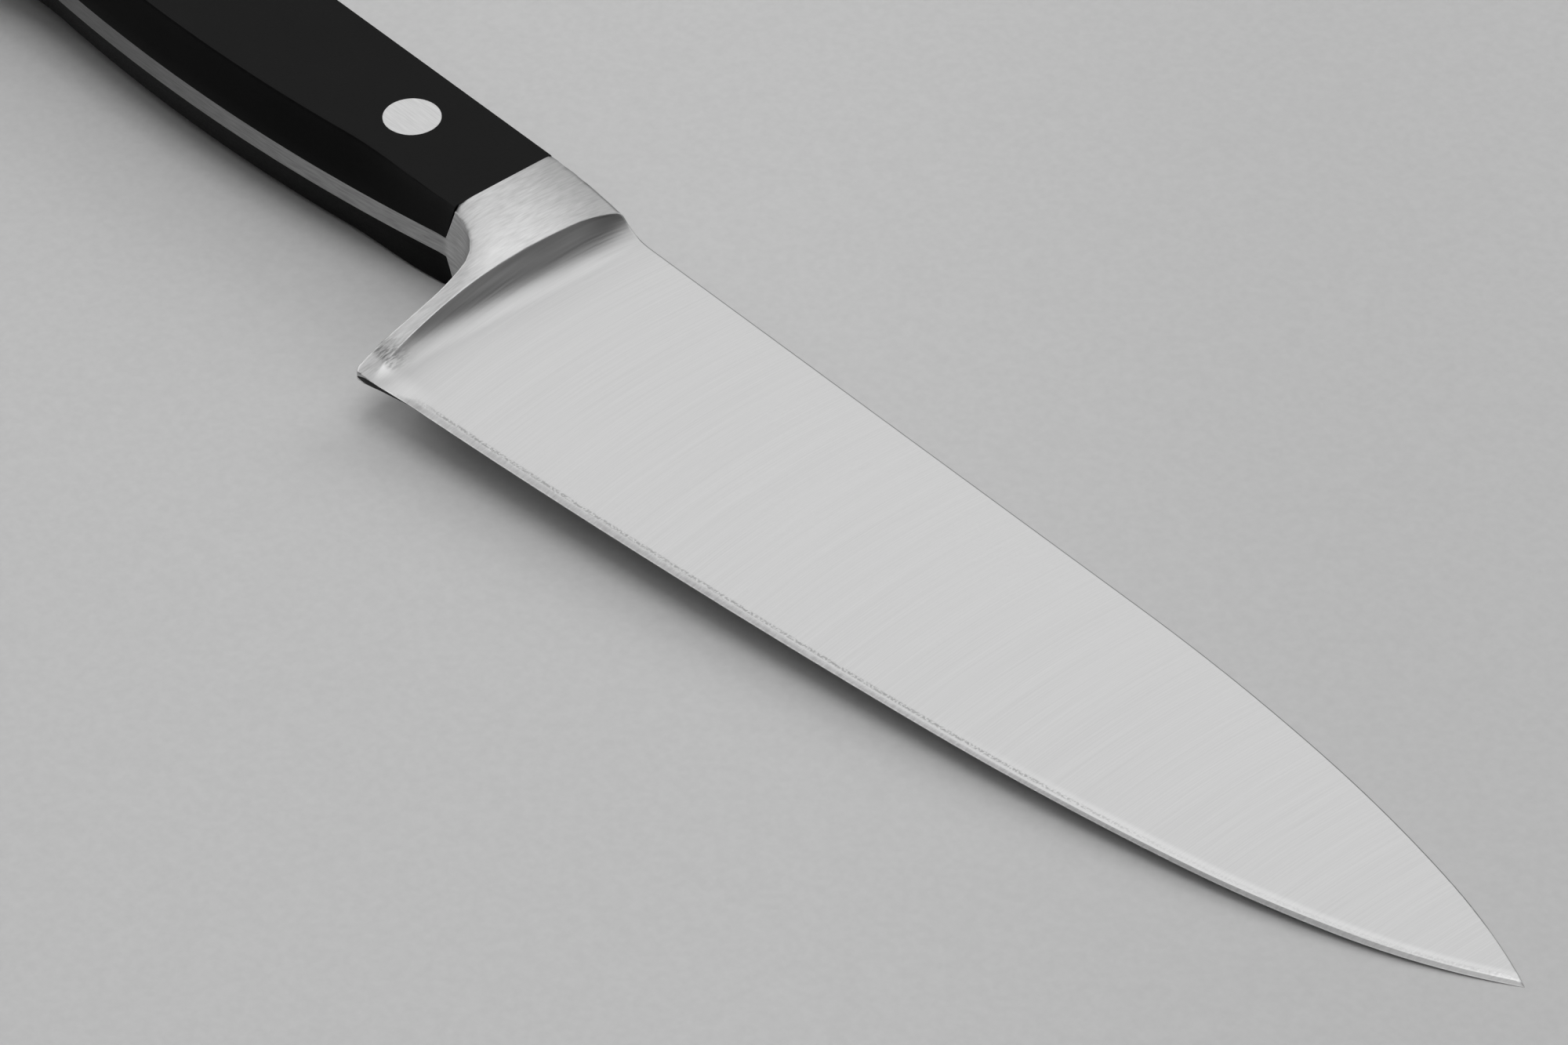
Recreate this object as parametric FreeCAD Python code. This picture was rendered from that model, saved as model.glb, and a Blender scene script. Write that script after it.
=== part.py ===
import FreeCAD, Part
import math
import os

# A forged chef knife, in millimetres.  Three kinds of piece make it up:
#   * one forging: blade, full bolster and full tang in one piece of steel;
#   * two handle scales, one on each side of the tang;
#   * three cutler's rivets, each a male half pressed into a female half.
#
# The pieces are drawn in knife coordinates: X from the heel towards the tip,
# Y from the cutting edge up to the spine, Z across the blade.  The heel corner
# is at X = Y = 0 and the blade's middle plane is Z = 0, so the knife is the
# same on both sides of Z = 0.  At the end everything is moved so that the knife
# lies on its side with the origin under the middle of its bounding box.

# ---- driving dimensions --------------------------------------------------

# blade, seen from the side
SPINE_HEIGHT = 49.4            # spine above the heel corner
SPINE_STRAIGHT = 111.5         # the spine is straight up to this X
SPINE_BENDS = [(403.0, 5.7), (258.0, 6.2), (110.0, 16.0)]      # radius, degrees
EDGE_START = (9.0, 1.44)       # where the sharpened edge begins
EDGE_HEADING = 3.74            # degrees, its first direction
EDGE_BENDS = [(1724.0, 3.32), (504.0, 5.12), (208.0, 6.89), (102.0, 30.0)]
TIP = (200.0, 36.5)

# blade, across: each side is one flat ground face through these three points
HALF_AT_HEEL = 0.38
HALF_AT_SPINE = 1.50           # at the spine, just in front of the bolster
HALF_AT_TIP = 0.42
BEVEL_ANGLE = 15.0             # each side of the sharpened edge
BEVEL_REACH = 9.0
HEEL_GRIND = (22.6, 12.0)      # direction and length of the run-out ground at the heel

# finger notch and heel, from the heel corner up to the handle: radius, degrees
HEEL_HEADING = 120.8
HEEL_ROUND = (16.7, 24.9)
HEEL_STRAIGHT = 9.0
HEEL_HOLLOW = (50.5, 8.5)
NOTCH_CORNER = (5.9, 55.0)
NOTCH_TOP = (16.8, 31.0)

# handle, seen from the side
BELLY_BEND = (335.0, 14.9)
FLARE_BEND = (60.0, 27.0)
FLARE_STRAIGHT = 7.0
HANDLE_SPINE_STRAIGHT = 50.0   # behind the joint, before the back starts to fall
HANDLE_SPINE_BEND = (540.0, 7.9)
HOOK_RADIUS = 6.0
BUTT_RADIUS = 10.0

# handle, across
TANG_HALF = 1.7
HANDLE_HALF = 8.8
GROUND_LAND = 0.2              # the scale's strip that is flush with the tang
BACK_FACET = 2.6               # how far the back facet reaches down the flat side
BELLY_FACET = 2.65             # and the belly facet up it
BELLY_FACET_STOP = 3.4         # degrees of the belly bend in front of the full facet
BELLY_FACET_END = (-13.6, 28.25)       # where that facet has run out, by the joint
BUTT_ROUND = 1.6
BUTT_EDGES = 6.0               # the butt starts this far behind the last rivet head

# joint between bolster and scales
JOINT_X = -12.7                # on the flat side of the handle
JOINT_SLANT = 2.5              # the joint is this much further back at the tang
JOINT_CURL_Y = 29.4            # below this height the joint curls forward
JOINT_CURL = (1.8, 55.0)
JOINT_CURL_TAIL = 3.0

# bolster: height, half thickness at the joint, half thickness at the front ridge
BOLSTER_LEVELS = [(-3.0, 0.30, 0.35), (0.0, 0.70, 0.80), (6.0, 2.10, 2.00),
                  (12.0, 3.40, 3.10), (18.0, 4.80, 4.20), (24.0, 6.80, 5.15),
                  (28.0, 8.20, 5.60), (32.0, 8.80, 5.95), (37.0, 8.80, 6.10),
                  (44.0, 8.80, 5.80), (49.4, 8.80, 4.40), (52.0, 8.80, 3.60)]
RIDGE_BACK = (-1.2, 25.5)      # the ridge's rearmost point
RIDGE_BOW_HEEL = 95.0          # radius of its bow, towards the heel
RIDGE_BOW_SPINE = 210.0        # and towards the spine
BOLSTER_SHOULDER = 0.33        # share of the fall that lies in its rear half
BOLSTER_TAIL = 6.0
HOLLOW_RADIUS = 8.0            # hollow from the ridge down to the blade
HOLLOW_SINK = 0.02             # keeps the hollow's foot just under the blade face
BACK_FACET_AT_RIDGE = 3.9      # half thickness left at the spine, at the ridge

# rivets
RIVET_FIRST_X = -33.1
RIVET_PITCH = 45.0
RIVET_HEIGHTS = {"front": 37.2, "middle": 36.1, "rear": 34.3}
HEAD_RADIUS = 4.4
HEAD_DEPTH = 2.4
TUBE_RADIUS = 2.6
SHANK_RADIUS = 1.6
SHANK_END = 5.0                # how far the male shank reaches past the middle
TUBE_END = 4.6                 # how far the female tube reaches past the middle
TANG_HOLE_RADIUS = 2.8         # drilled with a little room round the tube

# construction sizes
FAR = 80.0                     # well clear of the knife
BAR = 20.0
NEAR = 1e-3
EDGE_SPARE = 0.6               # steel left outside the edge for the bevels to remove
EDGE_LAP = 0.5                 # overlap of the edge's bevels and their run-out
RUN_OUT_STEPS = 4              # sections of the belly facet's run-out


# ---- small helpers ---------------------------------------------------------

def vector(x, y, z=0.0):
    return FreeCAD.Vector(x, y, z)


class Outline:
    """A chain of straight lines and tangent arcs in the XY plane."""

    def __init__(self, x, y, heading):
        self.point = vector(x, y)
        self.heading = math.radians(heading)
        self.edges = []

    def line(self, length):
        return self.line_to(self.point.x + length * math.cos(self.heading),
                            self.point.y + length * math.sin(self.heading))

    def line_to(self, x, y):
        end = vector(x, y)
        self.edges.append(Part.LineSegment(self.point, end).toShape())
        self.point = end
        return self

    def bend(self, radius, degrees):
        """A tangent arc, to the left for positive degrees."""
        side = math.copysign(1.0, degrees)
        left = vector(-math.sin(self.heading), math.cos(self.heading)) * side
        centre = self.point + left * radius
        turn = math.radians(degrees)

        def at(part):
            angle = turn * part
            spoke = self.point - centre
            return centre + vector(spoke.x * math.cos(angle) - spoke.y * math.sin(angle),
                                   spoke.x * math.sin(angle) + spoke.y * math.cos(angle))

        self.edges.append(Part.Arc(self.point, at(0.5), at(1.0)).toShape())
        self.point = at(1.0)
        self.heading += turn
        return self

    def turn_to(self, heading):
        self.heading = math.radians(heading)
        return self


def prism(edges, low, high):
    """The closed outline made by edges, from Z = low to Z = high."""
    wire = Part.Wire(Part.__sortEdges__(edges))
    wire.translate(vector(0, 0, low))
    return Part.Face(wire).extrude(vector(0, 0, high - low))


def polygon(points):
    return Part.makePolygon(points + [points[0]])


def mirrored(shape):
    return shape.mirror(vector(0, 0, 0), vector(0, 0, 1))


def both_sides(shape):
    return [shape, mirrored(shape)]


# ---- outlines seen from the side -------------------------------------------

def edge_line(path, offset):
    """Adds the cutting edge, offset outwards, to a path that is at its start."""
    path.turn_to(EDGE_HEADING)
    for radius, degrees in EDGE_BENDS:
        path.bend(radius + offset, degrees)
    return path


def above_edge(low, high):
    """Everything above the heel's underside and a line just below the edge."""
    path = Outline(0.0, 0.0, 0.0).line_to(*EDGE_START)
    path.turn_to(EDGE_HEADING - 90.0).line(EDGE_SPARE)
    edge_line(path, EDGE_SPARE)
    path.line_to(path.point.x, FAR).line_to(-2 * FAR, FAR).line_to(-2 * FAR, 0.0).line_to(0.0, 0.0)
    return prism(path.edges, low, high)


def heel_and_notch():
    """From the heel corner up the back of the heel and round the finger notch."""
    path = Outline(0.0, 0.0, HEEL_HEADING)
    path.bend(HEEL_ROUND[0], -HEEL_ROUND[1]).line(HEEL_STRAIGHT)
    return path.bend(*HEEL_HOLLOW).bend(*NOTCH_CORNER).bend(*NOTCH_TOP)


def belly_line(path, skipped=0.0):
    """Adds the handle's belly and flare, less a first part already drawn."""
    path.bend(BELLY_BEND[0], skipped - BELLY_BEND[1])
    return path.bend(*FLARE_BEND).line(FLARE_STRAIGHT)


def knife_outline(low, high):
    """Everything inside the heel, notch, belly, butt and spine, open to the tip."""
    lower = heel_and_notch()
    belly_line(lower)
    hook = lower.point

    upper = Outline(JOINT_X - HANDLE_SPINE_STRAIGHT, SPINE_HEIGHT, 180.0).bend(*HANDLE_SPINE_BEND)
    top = upper.point
    butt = Part.LineSegment(hook, top).toShape()

    spine = Outline(JOINT_X - HANDLE_SPINE_STRAIGHT, SPINE_HEIGHT, 0.0)
    spine.line(HANDLE_SPINE_STRAIGHT - JOINT_X + SPINE_STRAIGHT)
    for radius, degrees in SPINE_BENDS:
        spine.bend(radius, -degrees)
    spine.line_to(spine.point.x, -FAR).line_to(0.0, -FAR).line_to(0.0, 0.0)

    solid = prism(lower.edges + upper.edges + spine.edges + [butt], low, high)
    solid = rounded_corner(solid, hook, HOOK_RADIUS)
    return rounded_corner(solid, top, BUTT_RADIUS)


def rounded_corner(solid, corner, radius):
    """Rounds the upright edge of a prism that stands over a corner."""
    upright = [edge for edge in solid.Edges
               if all(math.hypot(v.X - corner.x, v.Y - corner.y) < NEAR for v in edge.Vertexes)]
    return solid.makeFillet(radius, upright)


# ---- blade -------------------------------------------------------------------

def blade_half(x, y):
    """Half thickness of the ground blade: one plane through three points."""
    heel = vector(EDGE_START[0], EDGE_START[1], HALF_AT_HEEL)
    spine = vector(EDGE_START[0], SPINE_HEIGHT, HALF_AT_SPINE)
    tip = vector(TIP[0], TIP[1], HALF_AT_TIP)
    normal = (spine - heel).cross(tip - heel)
    return heel.z - (normal.x * (x - heel.x) + normal.y * (y - heel.y)) / normal.z


def blade_wedge():
    """The space between the two ground faces."""
    corners = [(-4.0, -5.0), (TIP[0] + 10.0, BAR), (TIP[0] + 10.0, FAR), (-4.0, FAR)]
    top = [vector(x, y, blade_half(x, y)) for x, y in corners]
    half = Part.Face(polygon(top)).extrude(vector(0, 0, -BAR))
    half = half.common(Part.makeBox(4 * FAR, 3 * FAR, BAR, vector(-FAR, -FAR, 0)))
    return half.fuse(mirrored(half))


def swept(path, start, heading, corners):
    """A section of (distance to the left, height) corners, swept along a path."""
    left = vector(-math.sin(heading), math.cos(heading))
    section = polygon([start + left * n + vector(0, 0, z) for n, z in corners])
    return Part.Wire(path.edges).makePipeShell([section], True, False)


def bevel_tool(path, start, heading):
    """Everything outside one side of the sharpened edge along a path."""
    rise = math.tan(math.radians(BEVEL_ANGLE))
    outside = 3.0
    roof = 6.0
    corners = [(-outside, -outside * rise), (BEVEL_REACH, BEVEL_REACH * rise),
               (BEVEL_REACH, roof), (-outside, roof)]
    return swept(path, start, heading, corners)


def edge_bevels():
    """The two bevels of the edge, and their run-out over the heel."""
    start = vector(*EDGE_START)
    heading = math.radians(EDGE_HEADING)
    begin = start - vector(math.cos(heading), math.sin(heading)) * EDGE_LAP
    edge = edge_line(Outline(begin.x, begin.y, EDGE_HEADING).line(EDGE_LAP), 0.0)
    along_edge = bevel_tool(edge, begin, heading)

    heading = math.radians(HEEL_GRIND[0])
    begin = start - vector(math.cos(heading), math.sin(heading)) * HEEL_GRIND[1]
    run_out = Outline(begin.x, begin.y, HEEL_GRIND[0]).line(HEEL_GRIND[1])
    over_heel = bevel_tool(run_out, begin, heading)
    return both_sides(along_edge) + both_sides(over_heel)


# ---- bolster -------------------------------------------------------------------

def ridge_x(y):
    """Where the bolster's front ridge lies at a height, seen from the side."""
    bow = RIDGE_BOW_SPINE if y > RIDGE_BACK[1] else RIDGE_BOW_HEEL
    return RIDGE_BACK[0] + (y - RIDGE_BACK[1]) ** 2 / (2.0 * bow)


def bolster_section(y, rear_half, ridge_half):
    """One level of the bolster: flat, curving in to the ridge, then hollow."""
    ridge = vector(ridge_x(y), y, ridge_half)
    joint = vector(JOINT_X, y, rear_half)
    middle = (ridge + joint) * 0.5
    middle.z = joint.z + (ridge.z - joint.z) * BOLSTER_SHOULDER

    drop = ridge.z - blade_half(ridge.x, y) + HOLLOW_SINK
    reach = math.sqrt(2.0 * HOLLOW_RADIUS * drop - drop ** 2)
    foot = vector(ridge.x + reach, y, ridge.z - drop)
    half_turn = 0.5 * math.acos(1.0 - drop / HOLLOW_RADIUS)
    hollow = vector(foot.x - HOLLOW_RADIUS * math.sin(half_turn), y,
                    foot.z + HOLLOW_RADIUS * (1.0 - math.cos(half_turn)))

    back = vector(JOINT_X - BOLSTER_TAIL, y, rear_half)
    upper = [Part.LineSegment(back, joint).toShape(),
             Part.Arc(joint, middle, ridge).toShape(),
             Part.Arc(ridge, hollow, foot).toShape()]
    flip = FreeCAD.Matrix()
    flip.scale(1.0, 1.0, -1.0)
    lower = [edge.transformGeometry(flip) for edge in upper]
    front = Part.LineSegment(foot, vector(foot.x, y, -foot.z)).toShape()
    rear = Part.LineSegment(back, vector(back.x, y, -back.z)).toShape()
    return Part.Wire(Part.__sortEdges__(upper + [front] + lower + [rear]))


def bolster_block():
    """The bolster and the hollow in front of it, before the outline is cut."""
    return Part.makeLoft([bolster_section(*level) for level in BOLSTER_LEVELS], True, False)


def bolster_back_facet():
    """Cuts the bolster's back facet: flat, from the handle's facet to the ridge."""
    low = vector(JOINT_X, SPINE_HEIGHT, TANG_HALF + GROUND_LAND)
    high = vector(JOINT_X, SPINE_HEIGHT - BACK_FACET, HANDLE_HALF)
    ahead = vector(ridge_x(SPINE_HEIGHT), SPINE_HEIGHT, BACK_FACET_AT_RIDGE) - low
    up = high - low
    corners = [low - up * 0.3, low + up * 1.6, low + up * 1.6 + ahead * 2.5,
               low - up * 0.3 + ahead * 2.5]
    return Part.Face(polygon(corners)).extrude(vector(0, BAR, BAR))


def joint_pocket():
    """The space behind the bolster that one scale fills, with a slanted front."""
    front_x = JOINT_X - JOINT_SLANT
    path = Outline(front_x, FAR, -90.0)
    path.line(FAR - JOINT_CURL_Y).bend(*JOINT_CURL).line(JOINT_CURL_TAIL)
    path.line_to(2 * JOINT_X, path.point.y).line_to(2 * JOINT_X, 0.0)
    path.line_to(-2 * FAR, 0.0).line_to(-2 * FAR, FAR).line_to(front_x, FAR)
    floor = Part.Face(Part.Wire(path.edges))
    floor.translate(vector(0, 0, TANG_HALF))
    return floor.extrude(vector(JOINT_SLANT, 0, HANDLE_HALF - TANG_HALF) * 2.0)


# ---- handle --------------------------------------------------------------------

def back_facet():
    """Cuts the facet between the flat side and the back of the handle."""
    start = vector(JOINT_X, SPINE_HEIGHT)
    path = Outline(start.x, start.y, 180.0).line(HANDLE_SPINE_STRAIGHT)
    path.bend(*HANDLE_SPINE_BEND).line(BAR)
    low = TANG_HALF + GROUND_LAND
    slope = (HANDLE_HALF - low) / BACK_FACET
    corners = [(-1.0, low - slope), (BACK_FACET + 1.0, HANDLE_HALF + slope),
               (-1.0, HANDLE_HALF + slope)]
    return swept(path, start, math.pi, corners)


def belly_facet():
    """Cuts the facet between the flat side and the belly, and its run-out in front."""
    low = TANG_HALF + GROUND_LAND

    def corners(width):
        lean = width / (HANDLE_HALF - low)
        beyond = 3.0
        below = 9.0
        return [(beyond * lean, low - beyond), (-width - beyond * lean, HANDLE_HALF + beyond),
                (below, HANDLE_HALF + beyond), (below, low - beyond)]

    def section(turned, width):
        before = heel_and_notch().bend(BELLY_BEND[0], -turned)
        left = vector(-math.sin(before.heading), math.cos(before.heading))
        return polygon([before.point + left * n + vector(0, 0, z) for n, z in corners(width)])

    before = heel_and_notch().bend(BELLY_BEND[0], -BELLY_FACET_STOP)
    path = Outline(before.point.x, before.point.y, math.degrees(before.heading))
    belly_line(path, BELLY_FACET_STOP).line(BAR)
    full = swept(path, before.point, before.heading, corners(BELLY_FACET))

    sections = []
    for step in range(RUN_OUT_STEPS, 0, -1):
        share = step / RUN_OUT_STEPS
        width = BELLY_FACET * math.sin(0.5 * math.pi * share)
        sections.append(section(BELLY_FACET_STOP * share, width))
    end = vector(*BELLY_FACET_END)
    sections.append(polygon([end - vector(0, n, 0) + vector(0, 0, z) for n, z in corners(0.0)]))
    return full.fuse(Part.makeLoft(sections, True, True))


def round_butt(scale):
    """Rounds the scale's outer edge round the butt."""
    behind = RIVET_FIRST_X - 2.0 * RIVET_PITCH - HEAD_RADIUS - BUTT_EDGES
    edges = [edge for edge in scale.Edges
             if all(v.X < behind and abs(v.Z - HANDLE_HALF) < NEAR for v in edge.Vertexes)]
    return scale.makeFillet(BUTT_ROUND, edges)


# ---- rivets --------------------------------------------------------------------

def rivet_places():
    return [(name, RIVET_FIRST_X - RIVET_PITCH * step, height)
            for step, (name, height) in enumerate(RIVET_HEIGHTS.items())]


def rod(x, y, radius, low, high):
    return Part.makeCylinder(radius, high - low, vector(x, y, low))


def rivet_male(x, y):
    """A flush head with a solid shank that is pressed into the female tube."""
    seat = HANDLE_HALF - HEAD_DEPTH
    return rod(x, y, HEAD_RADIUS, seat, HANDLE_HALF).fuse(rod(x, y, SHANK_RADIUS, -SHANK_END, seat))


def rivet_female(x, y):
    """A flush head with a hollow tube that reaches through the tang."""
    seat = HEAD_DEPTH - HANDLE_HALF
    body = rod(x, y, HEAD_RADIUS, -HANDLE_HALF, seat).fuse(rod(x, y, TUBE_RADIUS, seat, TUBE_END))
    return body.cut(rod(x, y, SHANK_RADIUS, seat, TUBE_END))


# ---- pieces --------------------------------------------------------------------

def forging():
    """Blade, bolster and tang: one piece of steel."""
    deep = HANDLE_HALF + 2.0
    tang = Part.makeBox(2 * FAR, FAR, 2 * TANG_HALF, vector(-2 * FAR - 8.0, 0, -TANG_HALF))
    bolster = bolster_block().common(above_edge(-HANDLE_HALF, HANDLE_HALF))
    steel = blade_wedge().common(above_edge(-deep, deep)).fuse([bolster, tang])
    steel = steel.common(knife_outline(-deep, deep))
    steel = steel.cut(edge_bevels())
    steel = steel.cut(both_sides(joint_pocket()))
    steel = steel.cut(both_sides(bolster_back_facet()) + both_sides(back_facet()))
    holes = [rod(x, y, TANG_HOLE_RADIUS, -deep, deep) for _, x, y in rivet_places()]
    return steel.cut(holes)


def right_scale():
    """One handle scale, on the side of the male rivet heads."""
    scale = knife_outline(TANG_HALF, HANDLE_HALF).common(joint_pocket())
    scale = scale.cut([back_facet(), belly_facet()]).removeSplitter()
    scale = round_butt(scale)
    for _, x, y in rivet_places():
        scale = scale.cut(rod(x, y, TUBE_RADIUS, TANG_HALF, HANDLE_HALF))
        scale = scale.cut(rod(x, y, HEAD_RADIUS, HANDLE_HALF - HEAD_DEPTH, HANDLE_HALF))
    return scale


def pieces():
    scale = right_scale()
    made = {"blade_bolster_tang": forging(), "right_scale": scale, "left_scale": mirrored(scale)}
    for name, x, y in rivet_places():
        made["rivet_male_" + name] = rivet_male(x, y)
        made["rivet_female_" + name] = rivet_female(x, y)
    return made


def only_solid(name, shape):
    """The shape's one solid, after a check that it is sound."""
    if len(shape.Solids) != 1 or not shape.Solids[0].isValid():
        raise RuntimeError("%s is not one sound solid" % name)
    return shape.Solids[0]


os.makedirs("parts", exist_ok=True)
knife = {name: only_solid(name, shape) for name, shape in pieces().items()}

# The knife lies on its flat left side, with the origin under the middle.
extent = knife["blade_bolster_tang"].optimalBoundingBox(False, False)
to_row = vector(-0.5 * (extent.XMin + extent.XMax), -0.5 * (extent.YMin + extent.YMax), HANDLE_HALF)
for name, solid in knife.items():
    solid.translate(to_row)
    solid.exportStep("parts/%s.step" % name)
    print("%-22s %9.1f mm3  %s" % (name, solid.Volume, solid.BoundBox))
print("moved by", to_row)
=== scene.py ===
import math

import bmesh
import bpy
import numpy as np
from mathutils import Matrix, Vector
from mathutils.geometry import delaunay_2d_cdt


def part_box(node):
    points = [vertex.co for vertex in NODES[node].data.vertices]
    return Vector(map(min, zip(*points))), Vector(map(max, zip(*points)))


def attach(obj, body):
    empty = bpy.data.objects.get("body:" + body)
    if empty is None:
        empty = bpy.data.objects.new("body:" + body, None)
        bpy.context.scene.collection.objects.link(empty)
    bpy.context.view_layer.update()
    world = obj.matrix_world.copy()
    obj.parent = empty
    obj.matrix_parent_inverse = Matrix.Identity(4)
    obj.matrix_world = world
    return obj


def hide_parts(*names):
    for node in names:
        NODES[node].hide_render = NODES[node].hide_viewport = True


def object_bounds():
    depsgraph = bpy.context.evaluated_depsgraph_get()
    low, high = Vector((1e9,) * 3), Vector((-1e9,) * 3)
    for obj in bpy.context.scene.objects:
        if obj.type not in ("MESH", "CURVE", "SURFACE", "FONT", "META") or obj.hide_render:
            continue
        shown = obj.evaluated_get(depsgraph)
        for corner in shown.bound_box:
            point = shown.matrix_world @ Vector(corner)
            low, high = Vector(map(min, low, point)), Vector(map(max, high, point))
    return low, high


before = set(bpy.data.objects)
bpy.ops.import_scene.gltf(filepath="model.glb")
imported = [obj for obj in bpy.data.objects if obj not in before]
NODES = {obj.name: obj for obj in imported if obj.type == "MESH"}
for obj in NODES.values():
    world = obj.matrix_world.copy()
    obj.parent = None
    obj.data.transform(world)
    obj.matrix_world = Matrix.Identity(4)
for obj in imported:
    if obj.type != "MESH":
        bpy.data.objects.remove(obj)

CAD_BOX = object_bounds()
MM = 0.001

# ---- camera: where it stands and looks --------------------------------------
LENS = 200.0                   # millimetres, on a sensor 36 mm wide
SENSOR = 36.0
HEADING = 139.122              # degrees from +X, the way the camera looks
DIP = 40.562                   # degrees below the horizon
ROLL = -0.206
DISTANCE = 1.22263
AIM = (0.5980, 0.5036, 0.5)    # the point looked at, as shares of the CAD box


def inside_box(shares):
    lo, hi = CAD_BOX
    return Vector([a + (b - a) * s for a, b, s in zip(lo, hi, shares)])


def camera():
    yaw = math.radians(HEADING)
    dip = math.radians(DIP)
    roll = math.radians(ROLL)
    ahead = Vector((math.cos(yaw) * math.cos(dip), math.sin(yaw) * math.cos(dip), -math.sin(dip)))
    right = Vector((math.sin(yaw), -math.cos(yaw), 0.0))
    up = right.cross(ahead)
    side = right * math.cos(roll) + up * math.sin(roll)
    top = up * math.cos(roll) - right * math.sin(roll)
    data = bpy.data.cameras.new("camera")
    data.lens = LENS
    data.sensor_width = SENSOR
    data.clip_start = 0.05
    data.clip_end = 50.0
    cam = bpy.data.objects.new("camera", data)
    bpy.context.scene.collection.objects.link(cam)
    turn = Matrix((side, top, -ahead)).transposed().to_4x4()
    cam.matrix_world = Matrix.Translation(inside_box(AIM) - ahead * DISTANCE) @ turn
    bpy.context.scene.camera = cam


# ---- node helpers -------------------------------------------------------------

class Nodes:
    """A material and short calls that add and join its nodes."""

    def __init__(self, name):
        self.material = bpy.data.materials.new(name)
        self.material.use_nodes = True
        self.tree = self.material.node_tree
        self.shader = self.tree.nodes["Principled BSDF"]

    def add(self, kind, **settings):
        node = self.tree.nodes.new(kind)
        for key, value in settings.items():
            setattr(node, key, value)
        return node

    def join(self, source, target):
        self.tree.links.new(source, target)

    def feed(self, socket, value):
        if isinstance(value, bpy.types.NodeSocket):
            self.join(value, socket)
        else:
            socket.default_value = value

    def sums(self, operation, *values):
        node = self.add("ShaderNodeMath", operation=operation)
        for socket, value in zip(node.inputs, values):
            self.feed(socket, value)
        return node.outputs[0]

    def place(self):
        """X, Y and Z measured in metres from the heel corner."""
        coordinates = self.add("ShaderNodeTexCoord")
        moved = self.add("ShaderNodeVectorMath", operation="SUBTRACT")
        self.join(coordinates.outputs["Object"], moved.inputs[0])
        moved.inputs[1].default_value = to_row((0.0, 0.0, 0.0)).tolist()
        split = self.add("ShaderNodeSeparateXYZ")
        self.join(moved.outputs[0], split.inputs[0])
        return split.outputs

    def attribute(self, name):
        return self.add("ShaderNodeAttribute", attribute_name=name).outputs["Fac"]

    def vector(self, x, y, z):
        node = self.add("ShaderNodeCombineXYZ")
        for socket, value in zip(node.inputs, (x, y, z)):
            self.feed(socket, value)
        return node.outputs[0]

    def noise(self, vector, scale=1.0, detail=2.0, roughness=0.5):
        node = self.add("ShaderNodeTexNoise")
        self.join(vector, node.inputs["Vector"])
        node.inputs["Scale"].default_value = scale
        node.inputs["Detail"].default_value = detail
        node.inputs["Roughness"].default_value = roughness
        return node.outputs["Fac"]

    def span(self, value, low, high, to_low, to_high, smooth=False):
        node = self.add("ShaderNodeMapRange")
        node.interpolation_type = "SMOOTHSTEP" if smooth else "LINEAR"
        for socket, v in zip(node.inputs, (value, low, high, to_low, to_high)):
            self.feed(socket, v)
        return node.outputs[0]

    def between(self, noise, low, high):
        """A noise turned into values from low to high."""
        return self.span(noise, *NOISE_RANGE, low, high)

    def product(self, first, *others):
        """The values multiplied together."""
        for value in others:
            first = self.sums("MULTIPLY", first, value)
        return first

    def less(self, amount, depth):
        """1 where the amount is 0, and less by the depth where it is 1."""
        return self.sums("SUBTRACT", 1.0, self.product(amount, depth))

    def stretched(self, *pairs):
        """A place for a noise, from coordinates and how many marks each has per metre."""
        scaled = [self.product(value, marks) for value, marks in pairs]
        return self.vector(*scaled, *[0.0] * (3 - len(scaled)))

    def grey(self, value):
        node = self.add("ShaderNodeCombineColor")
        for socket in node.inputs:
            self.join(value, socket)
        return node.outputs[0]

    def bump(self, height, strength, distance, normal=None):
        node = self.add("ShaderNodeBump")
        node.inputs["Strength"].default_value = strength
        node.inputs["Distance"].default_value = distance
        self.join(height, node.inputs["Height"])
        if normal is not None:
            self.join(normal, node.inputs["Normal"])
        return node.outputs[0]

    def set(self, **values):
        for key, value in values.items():
            self.feed(self.shader.inputs[key.replace("_", " ")], value)


# ---- materials --------------------------------------------------------------------
# Places are in metres from the heel corner; the vertex attributes are in millimetres.
# Painted shade that depends only on place (hollow, spine edges, bolster towards the spine, bevel by
# the tip, heel underside, tang, lower scale, floor) and painted highlights (the very edge, the band
# over the bevel near the tip) are matched to the photograph's one view.

NOISE_RANGE = (0.3, 0.7)       # the values that a noise mostly takes
ARC_MIDDLE = 0.034             # height at which the grinding arcs stand upright
ARC_SPREAD = 0.32              # twice the radius of the grinding arcs
HEEL_MARK_DEPTH = 0.62         # how much darker the heel's brush marks are
DOT_DEPTH = 0.42               # how much darker the dots above the bevel are
DOTS_PER_METRE = 2600.0
SHADE_ACROSS_FLOOR = (0.654, 0.756)    # the way along the floor in which painted shade darkens it


def grind_lines(m, x, y, fine, along):
    """Grinding marks: arcs across the blade, with this many per metre each way."""
    rise = m.sums("SUBTRACT", y, ARC_MIDDLE)
    across = m.sums("SUBTRACT", x, m.sums("DIVIDE", m.product(rise, rise), ARC_SPREAD))
    return m.noise(m.stretched((across, fine), (y, along)), detail=5.0)


def heel_marks(m, x, y):
    """Dark brush marks that end at the heel's polished corner: 1 bare, less where marked."""
    rise = m.span(y, 0.0032, 0.0044, 0.0, 1.0, True)
    fall = m.span(y, 0.0046, 0.0095, 1.0, 0.0, True)
    near = m.span(x, 0.0012, 0.0040, 1.0, 0.0, True)
    streak = m.noise(m.stretched((x, 3200.0), (y, 700.0)), detail=4.0)
    marked = m.product(rise, fall, near, m.span(streak, 0.42, 0.58, 0.25, 1.0))
    return m.less(marked, HEEL_MARK_DEPTH)


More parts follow.
